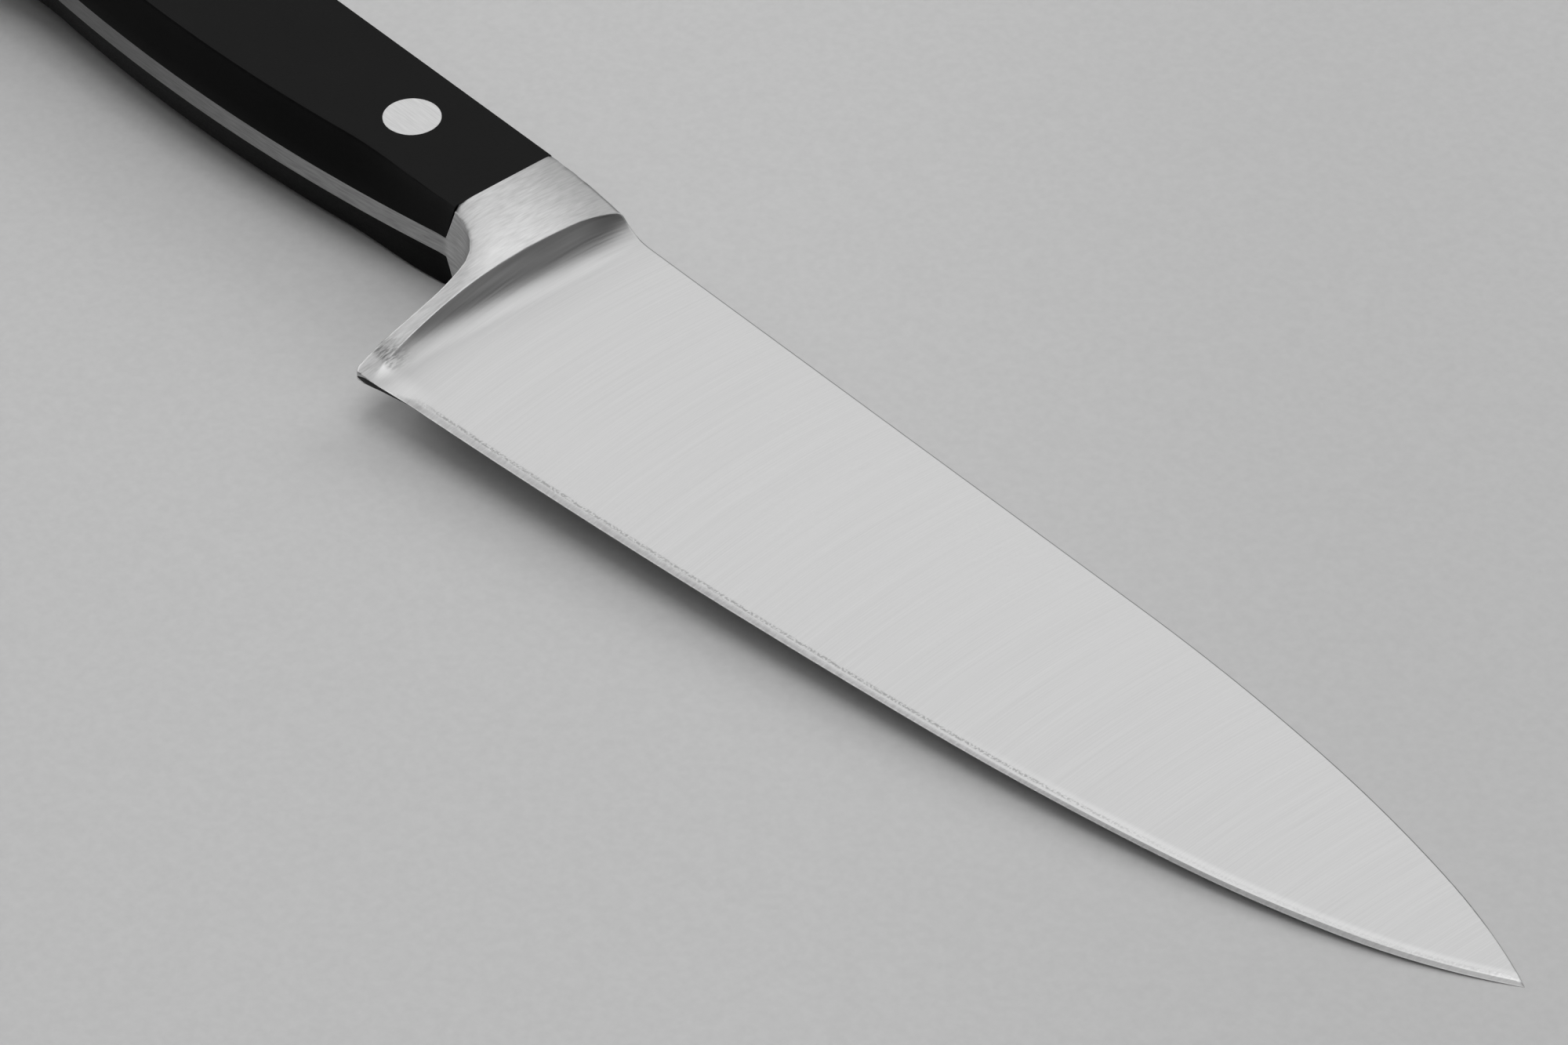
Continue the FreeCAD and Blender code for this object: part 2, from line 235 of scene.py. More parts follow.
def shoulder_dots(m, x, y, height):
    """A dotted line of grinding marks along the top of the sharpened bevel."""
    over = m.span(height, 0.95, 1.30, 0.0, 1.0, True)
    under = m.span(height, 1.45, 1.85, 1.0, 0.0, True)
    speck = m.noise(m.stretched((x, DOTS_PER_METRE), (y, DOTS_PER_METRE)), detail=2.0)
    dots = m.span(speck, 0.42, 0.56, 0.0, 1.0)
    begin = m.span(x, 0.008, 0.016, 0.0, 1.0)
    finish = m.span(x, 0.125, 0.150, 1.0, 0.25)
    return m.less(m.product(over, under, dots, begin, finish), DOT_DEPTH)


def steel(m, base, roughness, height, strength):
    """Brushed steel of this grey, with its marks as a fine bump."""
    m.set(Base_Color=m.grey(base), Metallic=1.0, Roughness=roughness, Anisotropic=0.3,
          Tangent=m.vector(0.0, 1.0, 0.0))
    m.join(m.bump(height, strength, 0.00003), m.shader.inputs["Normal"])
    return m.material


def blade_steel():
    """The ground face, with the hollow behind it and the eased spine; painted shade in the hollow,
    along the spine and on the bevel by the tip, and a painted highlight over the bevel towards the
    tip.
    """
    m = Nodes("blade_ground")
    x, y = m.place()[:2]
    height = m.attribute("edge_height")
    ridge = m.attribute("ridge_gap")
    fine = grind_lines(m, x, y, 4200.0, 60.0)
    broad = grind_lines(m, x, y, 1100.0, 20.0)
    bare = m.sums("ADD", m.between(fine, 0.58, 0.643), m.between(broad, -0.012, 0.012))

    # painted highlight: a lighter band over the bevel towards the tip
    highlight_over_bevel = m.product(m.span(height, 3.0, 2.0, 0.0, 0.09, True),
                           m.span(x, 0.10, 0.15, 0.0, 1.0, True))
    heel_corner = m.product(m.span(y, 0.0060, 0.0030, 0.0, 0.10, True),
                            m.span(x, 0.005, 0.014, 1.0, 0.0, True))
    lightened = m.sums("ADD", bare, m.sums("ADD", highlight_over_bevel, heel_corner))

    # painted shade: the hollow is darkened towards the ridge
    hollow = m.span(ridge, 0.0, 7.0, 0.78, 1.0, True)
    # painted shade: the bevel past 193 mm, where its rows taper, is darkened
    tip_bevel_shade = m.sums("MAXIMUM", m.span(height, 0.65, 0.95, 0.56, 1.0),
                       m.span(x, 0.1925, 0.1935, 1.0, 0.0))
    # painted shade: darker within 0.32 mm of the spine
    spine = m.span(m.attribute("spine_gap"), 0.0, 0.32, 0.4, 1.0)
    shade = m.product(heel_marks(m, x, y), shoulder_dots(m, x, y, height), spine, hollow,
                      tip_bevel_shade)
    roughness = m.sums("ADD", m.between(fine, 0.28, 0.36),
                       m.span(ridge, 2.0, 13.0, 0.06, 0.0, True))
    return steel(m, m.product(lightened, shade), roughness, fine, 0.15)


def bolster_steel():
    """The bolster and the back of the heel, brushed lengthwise, with painted shade towards the
    spine and along its edge.
    """
    m = Nodes("bolster_brushed")
    x, y, z = m.place()
    fine = m.noise(m.stretched((x, 3800.0), (y, 420.0), (z, 900.0)), detail=4.0)
    blotch = m.noise(m.stretched((x, 900.0), (y, 260.0)), detail=3.0)
    bare = m.sums("ADD", m.between(fine, 0.56, 0.73), m.between(blotch, -0.035, 0.035))
    heel_corner = m.span(y, 0.0042, 0.0030, 0.0, -0.04, True)
    # painted shade: darker towards the spine, and darker still at the eased spine edge
    shade_towards_spine = m.span(y, 0.034, 0.0494, 1.0, 0.62, True)
    spine = m.span(m.attribute("spine_gap"), 0.0, 0.5, 0.45, 1.0)
    shade = m.product(heel_marks(m, x, y), spine, shade_towards_spine)
    return steel(m, m.product(m.sums("ADD", bare, heel_corner), shade),
                 m.between(fine, 0.42, 0.54), fine, 0.3)


def bevel_steel():
    """The sharpened edge, with a painted highlight along the very edge and painted shade towards
    the tip.
    """
    m = Nodes("edge_ground")
    x, y = m.place()[:2]
    height = m.attribute("edge_height")
    lines = m.noise(m.stretched((x, 3000.0), (y, 700.0)), detail=3.0)
    # painted highlight: lighter within 0.3 mm of the edge
    bare = m.sums("ADD", m.between(lines, 0.62, 0.76),
                  m.span(height, 0.30, 0.12, 0.0, 0.10, True))
    # painted shade: the low bevel darker towards the tip
    shade_towards_tip = m.sums("MAXIMUM", m.span(x, 0.105, 0.155, 1.0, 0.56, True),
                         m.span(height, 0.65, 0.95, 0.0, 1.06))
    shade = m.product(shoulder_dots(m, x, y, height), shade_towards_tip)
    return steel(m, m.product(bare, shade), m.between(lines, 0.34, 0.46), lines, 0.25)


def wall_steel():
    """The narrow walls: the tang's rim, the finger notch, the spine and the heel's underside, with
    painted shade behind the joint, towards the butt and under the heel.
    """
    m = Nodes("wall_polished")
    x, y, z = m.place()
    lines = m.noise(m.stretched((x, 300.0), (y, 300.0), (z, 3600.0)), detail=3.0)
    # painted shade: darker behind the joint, and darker still towards the butt
    shade_behind_joint = m.span(x, -0.0155, -0.0140, 0.66, 0.9, True)
    shade_towards_butt = m.span(x, -0.085, -0.0145, 0.45, 1.0)
    # painted shade: the heel's underside nearly black
    underside = m.span(y, 0.0016, 0.0034, 0.05, 1.0, True)
    base = m.product(m.between(lines, 0.46, 0.72), shade_behind_joint, shade_towards_butt, underside)
    return steel(m, base, m.between(lines, 0.30, 0.42), lines, 0.3)


def handle_black():
    """Matt black plastic with lower specular on the facets, and painted shade on the lower scale as
    still lower specular.
    """
    m = Nodes("handle_moulded")
    z = m.place()[2]
    place = m.add("ShaderNodeTexCoord").outputs["Object"]
    grain = m.noise(place, scale=2600.0, detail=4.0)
    cloud = m.noise(place, scale=120.0, detail=3.0)
    base = m.sums("ADD", m.between(grain, 0.0022, 0.0042), m.between(cloud, 0.0, 0.0008))
    on_facets = m.span(z, 0.0064, 0.0088, 0.08, 0.105, True)
    # painted shade: the lower scale's specular lowered
    shade_on_lower_scale = m.span(z, -0.003, 0.001, 0.04, 0.105)
    m.set(Base_Color=m.grey(base), Roughness=m.between(grain, 0.44, 0.56),
          Specular_IOR_Level=m.sums("MINIMUM", on_facets, shade_on_lower_scale))
    m.join(m.bump(grain, 0.3, 0.00004), m.shader.inputs["Normal"])
    return m.material


def rivet_steel():
    m = Nodes("rivet_brushed")
    x, y = m.place()[:2]
    lines = m.noise(m.stretched((x, 260.0), (y, 3600.0)), detail=4.0)
    return steel(m, m.between(lines, 0.60, 0.74), m.between(lines, 0.30, 0.40), lines, 0.25)


def floor_paper():
    m = Nodes("floor_matt")
    x, y = m.place()[:2]
    place = m.add("ShaderNodeTexCoord").outputs["Object"]
    grain = m.noise(place, scale=700.0, detail=3.0)
    mottle = m.noise(place, scale=260.0, detail=5.0)
    base = m.sums("ADD", m.between(grain, 0.665, 0.70), m.between(mottle, -0.006, 0.006))
    along = m.sums("ADD", m.product(x, SHADE_ACROSS_FLOOR[0]), m.product(y, SHADE_ACROSS_FLOOR[1]))
    # painted shade: the floor darker along that way
    painted_falloff = m.span(along, 0.05, 0.15, 1.0, 0.93, True)
    m.set(Base_Color=m.grey(m.product(base, painted_falloff)), Roughness=0.9)
    m.join(m.bump(grain, 0.2, 0.0001), m.shader.inputs["Normal"])
    return m.material


FLOOR_HALF = 6.0               # metres
TIP_ZONE = 0.5                 # the steel's last millimetres, which touch the floor


def new_object(name, mesh):
    obj = bpy.data.objects.new(name, mesh)
    bpy.context.scene.collection.objects.link(obj)
    return obj


def floor():
    """The knife rests on the handle's lower front end and on its tip."""
    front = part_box("left_scale")[1].x
    points = NODES["blade_bolster_tang"].data.vertices
    tip_x = CAD_BOX[1].x
    tip_z = min(v.co.z for v in points if v.co.x > tip_x - TIP_ZONE * MM)
    slope = tip_z / (tip_x - front)
    square = ((-1, -1), (1, -1), (1, 1), (-1, 1))
    corners = [(x, y, slope * (x - front)) for x, y in np.array(square) * FLOOR_HALF]
    mesh = bpy.data.meshes.new("floor")
    mesh.from_pydata(corners, [], [(0, 1, 2, 3)])
    mesh.materials.append(floor_paper())
    obj = new_object("floor", mesh)


# ---- light: a ring of large softboxes, and one overhead ------------------------
LIGHT_SIZE = 0.9
LIGHT_DISTANCE = 1.6
LIGHT_AIM = (0.02, 0.0, 0.01)
SOFTBOXES = (                  # degrees round from +X, degrees above the floor, watts
    (0.0, 30.0, 2.6), (90.0, 30.0, 4.5), (135.0, 30.0, 1.9), (180.0, 30.0, 6.4),
    (270.0, 30.0, 0.6), (90.0, 55.0, 1.2), (135.0, 55.0, 2.2), (270.0, 55.0, 0.7),
    (315.0, 55.0, 2.8), (0.0, 85.0, 6.7))


def softbox(round_by, up_by, power):
    data = bpy.data.lights.new("softbox", "AREA")
    data.shape = "RECTANGLE"
    data.size = data.size_y = LIGHT_SIZE
    data.energy = power
    light = bpy.data.objects.new("softbox", data)
    bpy.context.scene.collection.objects.link(light)
    yaw, rise = math.radians(round_by), math.radians(up_by)
    away = Vector((math.cos(yaw) * math.cos(rise), math.sin(yaw) * math.cos(rise), math.sin(rise)))
    light.location = Vector(LIGHT_AIM) + away * LIGHT_DISTANCE
    light.rotation_mode = "QUATERNION"
    light.rotation_quaternion = away.to_track_quat("Z", "Y")


def lights():
    """The softboxes alone: the world gives no light."""
    world = bpy.data.worlds.new("studio")
    world.use_nodes = True
    world.node_tree.nodes["Background"].inputs["Strength"].default_value = 0.0
    bpy.context.scene.world = world
    bpy.context.scene.view_settings.view_transform = "Standard"
    for round_by, up_by, power in SOFTBOXES:
        softbox(round_by, up_by, power)


# ---- knife coordinates ----------------------------------------------------------
# Millimetres, as in the CAD source: X from the heel towards the tip, Y from the
# edge up to the spine, Z across the blade, with the heel corner at X = Y = 0 and
# the blade's middle plane at Z = 0.  The upper half is modelled and mirrored.

ARC_STEPS = 24


class Path:
    """Points along a chain of straight lines and tangent arcs."""

    def __init__(self, x, y, heading):
        self.points = [(x, y)]
        self.heading = math.radians(heading)

    def line(self, length, steps=1):
        x, y = self.points[-1]
        for step in range(1, steps + 1):
            reach = length * step / steps
            self.points.append((x + reach * math.cos(self.heading),
                                y + reach * math.sin(self.heading)))
        return self

    def bend(self, radius, degrees):
        """A tangent arc, to the left for positive degrees."""
        radius = math.copysign(radius, degrees)
        x, y = self.points[-1]
        centre_x = x - radius * math.sin(self.heading)
        centre_y = y + radius * math.cos(self.heading)
        for step in range(1, ARC_STEPS + 1):
            heading = self.heading + math.radians(degrees) * step / ARC_STEPS
            self.points.append((centre_x + radius * math.sin(heading),
                                centre_y - radius * math.cos(heading)))
        self.heading += math.radians(degrees)
        return self


def smooth_step(value, low, high):
    t = np.clip((value - low) / (high - low), 0.0, 1.0)
    return t * t * (3.0 - 2.0 * t)


def soft_least(a, b, width):
    """The smaller of two heights, with the corner between them rounded."""
    return 0.5 * (a + b - np.sqrt((a - b) ** 2 + width ** 2))


def lengths(points):
    steps = np.hypot(*np.diff(points, axis=0).T)
    return np.concatenate([[0.0], np.cumsum(steps)])


def at_lengths(points, wanted):
    """The points at these distances along a chain of points."""
    far = lengths(points)
    return np.stack([np.interp(wanted, far, points[:, 0]), np.interp(wanted, far, points[:, 1])], 1)


# ---- outlines ---------------------------------------------------------------------

SPINE_HEIGHT = 49.4
SPINE_BENDS = [(403.0, 5.7), (258.0, 6.2), (110.0, 16.0)]
SPINE_STRAIGHT = 111.5
EDGE_START = (9.0, 1.44)
EDGE_HEADING = 3.74
EDGE_BENDS = [(1724.0, 3.32), (504.0, 5.12), (208.0, 6.89), (102.0, 30.0)]
HEEL_HEADING = 120.8
HEEL_CORNER = -0.32            # the rounded corner swells back past the straight line
HEEL_SWELL = 0.9
HEEL_SWELL_TOP = 4.0           # height at which the swell has gone
NOTCH_BENDS = ((50.5, 8.5), (5.9, 55.0), (16.8, 31.0))
HEEL_BEND = (16.7, -24.9)
HEEL_STRAIGHT = 9.0
JOINT_X = -12.7
JOINT_SLANT = 2.5
JOINT_CURL_Y = 29.4
JOINT_CURL = (1.8, 55.0)
HANDLE_SPINE_STRAIGHT = 50.0
HANDLE_SPINE_BEND = (540.0, 7.9)
BELLY_BEND = (335.0, 14.9)
FLARE_BEND = (60.0, 25.2)
FLARE_STRAIGHT = 8.72
HOOK_RADIUS = 6.0
BUTT_RADIUS = 10.0
TANG_HALF = 1.7
HANDLE_HALF = 8.8
GROUND_LAND = 0.2
BACK_FACET = 2.6


def lower_line():
    """The heel's underside and the cutting edge."""
    path = Path(HEEL_CORNER, 0.0, 0.0)
    path.points.append((0.0, 0.0))
    path.points.append(EDGE_START)
    path.heading = math.radians(EDGE_HEADING)
    for radius, degrees in EDGE_BENDS:
        path.bend(radius, degrees)
    return np.array(path.points)


def upper_line():
    """The spine, from the straight part of the handle to past the tip."""
    path = Path(JOINT_X - HANDLE_SPINE_STRAIGHT, SPINE_HEIGHT, 0.0)
    path.line(HANDLE_SPINE_STRAIGHT - JOINT_X + SPINE_STRAIGHT)
    for radius, degrees in SPINE_BENDS:
        path.bend(radius, -degrees)
    return np.array(path.points)


def heel_swell(y):
    """How far the heel's back swells behind its CAD outline."""
    share = min(1.0, HEEL_CORNER / -HEEL_SWELL + y)
    return HEEL_SWELL * share * max(0.0, 1.0 - y / HEEL_SWELL_TOP)


def notch_line():
    """From the heel corner up the back of the heel and round the finger notch."""
    path = Path(0.0, 0.0, HEEL_HEADING)
    path.bend(*HEEL_BEND).line(HEEL_STRAIGHT, ARC_STEPS)
    for bend in NOTCH_BENDS:
        path.bend(*bend)
    path.points = [(x - heel_swell(y), y) for x, y in path.points]
    return path


def rear_line():
    """From the notch along the belly, round the butt and forward along the back."""
    path = notch_line()
    path.points = path.points[-1:]
    path.bend(BELLY_BEND[0], -BELLY_BEND[1]).bend(*FLARE_BEND).line(FLARE_STRAIGHT)
    back = Path(JOINT_X - HANDLE_SPINE_STRAIGHT, SPINE_HEIGHT, 180.0).bend(*HANDLE_SPINE_BEND)
    hook, top = path.points[-1], back.points[-1]
    up = math.atan2(top[1] - hook[1], top[0] - hook[0])

    turn = path.heading - up
    cut = HOOK_RADIUS * math.tan(0.5 * turn)
    path.points.pop()
    path.line(FLARE_STRAIGHT - cut).bend(HOOK_RADIUS, -math.degrees(turn))
    reach = math.dist(path.points[-1], top)
    turn = up - (back.heading - math.pi)
    cut = BUTT_RADIUS * math.tan(0.5 * turn)
    path.line(reach - cut, ARC_STEPS // 2).bend(BUTT_RADIUS, -math.degrees(turn))
    back.points = [p for p in back.points if p[0] > path.points[-1][0]]
    return np.array(path.points + back.points[::-1] + [(JOINT_X - JOINT_SLANT, SPINE_HEIGHT)])


TIP_STEPS = 20001
LOWER = lower_line()
UPPER = upper_line()


def low_at(x):
    """Height of the lower outline: the heel's underside and the edge."""
    return np.interp(x, LOWER[:, 0], LOWER[:, 1])


def high_at(x):
    """Height of the spine."""
    return np.interp(x, UPPER[:, 0], UPPER[:, 1])


def tip_x():
    """Where the edge meets the spine."""
    xs = np.linspace(EDGE_START[0], LOWER[-1, 0], TIP_STEPS)
    return float(xs[np.argmax(low_at(xs) >= high_at(xs))])


TIP_X = tip_x()


# ---- the forging's half thickness ------------------------------------------------

HALF_AT_HEEL = 0.38
HALF_AT_SPINE = 1.50
HALF_AT_TIP = 0.42
EDGE_HALF = 0.03               # half thickness left at the very edge
BEVEL_RISE = math.tan(math.radians(15.0))
HEEL_RISE = 4.0                # the bevel turns into a chamfer at the heel
CHAMFER_FADES = 1.0
HEEL_BOTTOM_HALF = 0.46        # the heel's flat underside, and where it lies along X
UNDERSIDE_BEGINS = (-0.3, 1.5)
UNDERSIDE_FADES = 2.0
LEAN_STEP = 0.2                # half the stretch of edge whose slope is measured
SHOULDER_ROUNDS = 30
GROUND_TIP_HEIGHT = 36.5
BOLSTER_LEVELS = np.array([            # height, half thickness at the joint, at the ridge
    (-3.0, 0.30, 0.35), (0.0, 0.70, 0.80), (6.0, 2.10, 2.00), (12.0, 3.40, 3.10),
    (18.0, 4.80, 4.20), (24.0, 6.80, 5.15), (28.0, 8.20, 5.60), (32.0, 8.80, 5.95),
    (37.0, 8.80, 6.10), (44.0, 8.80, 5.80), (49.4, 8.80, 4.40), (52.0, 8.80, 3.60)])
BOLSTER_LEAN = 0.32            # how much of the way from joint to ridge is straight
BOLSTER_PAST_RIDGE = 1.25
BOLSTER_SOFT = 0.5             # roundness where the bolster's back facet begins
RIDGE_CRISP = 0.06             # roundness of the ridge, above the heel
RIDGE_FADED = 0.5              # and what is added to it down by the heel
RIDGE_FADE = (1.0, 7.0)
RIDGE_BACK = (-1.2, 25.5)      # the ridge's rearmost point
RIDGE_BOW_HEEL = 95.0
RIDGE_BOW_SPINE = 210.0
HOLLOW_RADIUS = 8.0
BACK_FACET_AT_RIDGE = 3.9
FACET_RISE = (HANDLE_HALF - TANG_HALF - GROUND_LAND) / BACK_FACET
EASED = 0.22                   # radius of the eased outer corners


def level_curve(y, column):
    """A smooth curve through one column of BOLSTER_LEVELS."""
    ys, zs = BOLSTER_LEVELS[:, 0], BOLSTER_LEVELS[:, column]
    slopes = np.gradient(zs, ys)
    slopes[BOLSTER_LEVELS[:, column] >= HANDLE_HALF] = 0.0
    i = np.clip(np.searchsorted(ys, y) - 1, 0, len(ys) - 2)
    gap = ys[i + 1] - ys[i]
    t = (y - ys[i]) / gap
    keep, lean = 2 * t ** 3 - 3 * t ** 2 + 1, t ** 3 - 2 * t ** 2 + t
    return (keep * zs[i] + (1 - keep) * zs[i + 1] + lean * gap * slopes[i]
            + (t ** 3 - t ** 2) * gap * slopes[i + 1])


def ground_half(x, y):
    """The flat ground blade: one plane through three points."""
    heel = np.array((EDGE_START[0], EDGE_START[1], HALF_AT_HEEL))
    spine = np.array((EDGE_START[0], SPINE_HEIGHT, HALF_AT_SPINE))
    tip = np.array((TIP_X, GROUND_TIP_HEIGHT, HALF_AT_TIP))
    normal = np.cross(spine - heel, tip - heel)
    return heel[2] - (normal[0] * (x - heel[0]) + normal[1] * (y - heel[1])) / normal[2]


def ridge_x(y):
    """The ridge between bolster and hollow: two arcs that meet at its rearmost point."""
    bow = np.where(y > RIDGE_BACK[1], RIDGE_BOW_SPINE, RIDGE_BOW_HEEL)
    return RIDGE_BACK[0] + (y - RIDGE_BACK[1]) ** 2 / (2.0 * bow)


def hollow_reach(y):
    """How far the hollow runs in front of the ridge."""
    drop = level_curve(y, 2) - ground_half(ridge_x(y), y)
    return np.sqrt(np.maximum(2.0 * HOLLOW_RADIUS * drop - drop ** 2, 0.01))


def back_facet_half(x, y):
    """The facet along the back of the handle, carried on over the bolster."""
    lift = (BACK_FACET_AT_RIDGE - TANG_HALF - GROUND_LAND) / (ridge_x(SPINE_HEIGHT) - JOINT_X)
    base = TANG_HALF + GROUND_LAND + lift * np.maximum(x - JOINT_X, 0.0)
    return base + FACET_RISE * (SPINE_HEIGHT - y)


def bolster_half(x, y):
    """From the joint, curving in to the ridge, and on a little past it."""
    rear, ridge = level_curve(y, 1), level_curve(y, 2)
    t = np.clip((x - JOINT_X) / (ridge_x(y) - JOINT_X), 0.0, BOLSTER_PAST_RIDGE)
    body = rear + (ridge - rear) * (BOLSTER_LEAN * t + (1.0 - BOLSTER_LEAN) * t ** 2)
    return soft_least(body, back_facet_half(x, y), BOLSTER_SOFT)


def hollow_half(x, y):
    """The ground face with the hollow that rises from it to the ridge."""
    back = np.clip(ridge_x(y) + hollow_reach(y) - x, 0.0, HOLLOW_RADIUS)
    return ground_half(x, y) + HOLLOW_RADIUS - np.sqrt(HOLLOW_RADIUS ** 2 - back ** 2)


def body_half(x, y):
    """Bolster, hollow and ground face, before the edge is sharpened."""
    roundness = RIDGE_CRISP + RIDGE_FADED * (1.0 - smooth_step(y, *RIDGE_FADE))
    return soft_least(bolster_half(x, y), hollow_half(x, y), roundness)


def bevel_start(x):
    """Half thickness at the bottom: the sharp edge, or the heel's flat underside."""
    begun = smooth_step(x, *UNDERSIDE_BEGINS)
    flat = begun * (1.0 - smooth_step(x, UNDERSIDE_FADES, EDGE_START[0]))
    return EDGE_HALF + (HEEL_BOTTOM_HALF - EDGE_HALF) * flat


def bevel_rise(x):
    """How fast the half thickness grows above the bottom."""
    flat = 1.0 - smooth_step(x, CHAMFER_FADES, EDGE_START[0])
    return BEVEL_RISE + (HEEL_RISE - BEVEL_RISE) * flat


def edge_lean(x):
    """Cosine of the edge's slope, which turns a height into a distance."""
    rise = (low_at(x + LEAN_STEP) - low_at(x - LEAN_STEP)) / (2.0 * LEAN_STEP)
    return 1.0 / np.sqrt(1.0 + rise ** 2)


def shoulder(x):
    """Height above the edge where the bevel meets the face."""
    up = np.full_like(x, 1.0)
    for _ in range(SHOULDER_ROUNDS):
        room = np.maximum(body_half(x, low_at(x) + up) - bevel_start(x), 0.0)
        up = room / (bevel_rise(x) * edge_lean(x))
    return up


def eased(distance):
    """How far an eased corner falls away at a distance inside the outline."""
    inside = np.clip(1.0 - distance / EASED, 0.0, 1.0)
    return EASED * (1.0 - np.sqrt(1.0 - inside ** 2))


def forging_half(x, y):
    bevel = bevel_start(x) + bevel_rise(x) * edge_lean(x) * (y - low_at(x))
    half = np.minimum(body_half(x, y), bevel)
    corner = np.minimum(eased(high_at(x) - y), half - EDGE_HALF)
    return half - np.maximum(corner, 0.0)


# ---- mesh building -------------------------------------------------------------------

WELD = 2e-7                    # metres
SHARP_ANGLE = math.radians(32.0)
BLADE, BOLSTER, BEVEL, PLAIN = range(4)        # the forging's materials, in order


def to_row(points):
    """Knife coordinates in millimetres to the row frame in metres."""
    lo, hi = CAD_BOX
    origin = np.array((hi.x - TIP_X * MM, lo.y, 0.5 * (lo.z + hi.z)))
    return np.asarray(points) * MM + origin


class Shell:
    """A closed piece made of its upper half, that half mirrored, and the rim between."""

    def __init__(self):
        self.corners = []
        self.faces = []
        self.kinds = []

    def add(self, corners, kind):
        first = len(self.corners)
        self.corners += [tuple(c) for c in corners]
        self.faces.append(tuple(range(first, len(self.corners))))
        self.kinds.append(kind)

    def sheet(self, grid, kind_at):
        """A grid of points; kind_at gives a face's kind from its row and column."""
        rows, columns = grid.shape[:2]
        for r in range(rows - 1):
            for c in range(columns - 1):
                quad = (grid[r, c], grid[r, c + 1], grid[r + 1, c + 1], grid[r + 1, c])
                self.add(quad, kind_at(r, c))

    def mirror(self):
        for face, kind in list(zip(self.faces, self.kinds)):
            self.add([(x, y, -z) for x, y, z in (self.corners[i] for i in reversed(face))], kind)

    def rim(self, chain, kind):
        """The wall between a chain of points and its mirror image."""
        for a, b in zip(chain[:-1], chain[1:]):
            self.add([a, b, (b[0], b[1], -b[2]), (a[0], a[1], -a[2])], kind)

    def build(self, name, materials):
        mesh = bpy.data.meshes.new(name)
        mesh.from_pydata(to_row(self.corners).tolist(), [], self.faces)
        for material in materials:
            mesh.materials.append(material)
        mesh.polygons.foreach_set("material_index", self.kinds)
        work = bmesh.new()
        work.from_mesh(mesh)
        bmesh.ops.remove_doubles(work, verts=work.verts, dist=WELD)
        bmesh.ops.dissolve_degenerate(work, edges=work.edges, dist=WELD)
        bmesh.ops.recalc_face_normals(work, faces=work.faces)
        for face in work.faces:
            face.smooth = True
        for edge in work.edges:
            edge.smooth = edge.is_manifold and edge.calc_face_angle(0.0) < SHARP_ANGLE
        work.to_mesh(mesh)
        work.free()
        return new_object(name, mesh)


def mark_distances(obj):
    """Stores each vertex's gap to the edge, to the ridge and to the spine, in mm."""
    mesh = obj.data
    places = np.empty(3 * len(mesh.vertices))
    mesh.vertices.foreach_get("co", places)
    x, y, z = ((places.reshape(-1, 3) - to_row((0.0, 0.0, 0.0))) / MM).T
    for name, values in (("edge_height", y - low_at(x)), ("ridge_gap", x - ridge_x(y)),
                         ("spine_gap", high_at(x) - y)):
        mesh.attributes.new(name, "FLOAT", "POINT").data.foreach_set("value", values)


def joint_line_x(y):
    """Where the joint meets the flat side: straight, then curling forward at the belly."""
    radius, turn = JOINT_CURL[0], math.radians(JOINT_CURL[1])
    down = np.maximum(JOINT_CURL_Y - y, 0.0)
    bent = np.minimum(down, radius * math.sin(turn))
    return JOINT_X + radius - np.sqrt(radius ** 2 - bent ** 2) + (down - bent) * math.tan(turn)


def joint_x(y, z):
    """The joint's slanting face."""
    return joint_line_x(y) - JOINT_SLANT * (HANDLE_HALF - z) / (HANDLE_HALF - TANG_HALF)


# ---- the forging: blade, bolster and tang ------------------------------------------------

EDGE_ROWS = (0.0, 0.5, 1.0)            # shares of the bevel's height
FACE_ROWS = (0.12, 0.45)               # just above the bevel
FACE_BAND = 1.1
SPINE_ROWS = (0.14, 0.05, 0.0)         # just below the spine
SPINE_BAND = 0.3
ROWS_TO_CORNER = 18
ROWS_ABOVE_CORNER = 24
ABOVE_CORNER_GROWTH = 1.6              # rows and columns grow wider by these powers
BLADE_GROWTH = 1.5
LENGTH_SHARE = 0.55                    # rows follow length by this much, height by the rest
NOTCH_COLUMNS = (0.0, 0.05, 0.12, EASED)       # millimetres from the rear edge
RIDGE_COLUMNS = (0.25, 0.1, 0.0)               # millimetres from the ridge
BOLSTER_COLUMNS = 10
HOLLOW_COLUMNS = (0.015, 0.04, 0.08, 0.13, 0.19, 0.26, 0.33, 0.41,     # shares of its reach
                  0.49, 0.57, 0.65, 0.73, 0.81, 0.89, 0.95, 1.0)
BLADE_COLUMNS = 64
JOINT_STATIONS = 60
MOST_EASED = 0.6                       # share of a half thickness that easing may take
SHOULDER_X = np.linspace(JOINT_X - 3.3, TIP_X, 1200)
SHOULDER = shoulder(SHOULDER_X)


def outline_band(x):
    """Height of the bevel, how far the bands taper near the tip, and the whole height."""
    height = high_at(x) - low_at(x)
    top = np.interp(x, SHOULDER_X, SHOULDER)
    taper = np.clip(height / (top + FACE_BAND + 2.0 * SPINE_BAND), 0.0, 1.0)
    return top, taper, height


def row_heights(x, shares):
    """Y of every row of the sheet at every x; shares places the rows between the bands."""
    top, taper, height = outline_band(x)
    edge = [top * s * taper for s in EDGE_ROWS] + [(top + up) * taper for up in FACE_ROWS]
    low = (top + FACE_BAND) * taper
    high = height - SPINE_BAND * taper
    body = [low + (high - low) * q for q in shares]
    spine = [height - down * taper for down in SPINE_ROWS]
    return low_at(x) + np.stack(edge + body + spine)


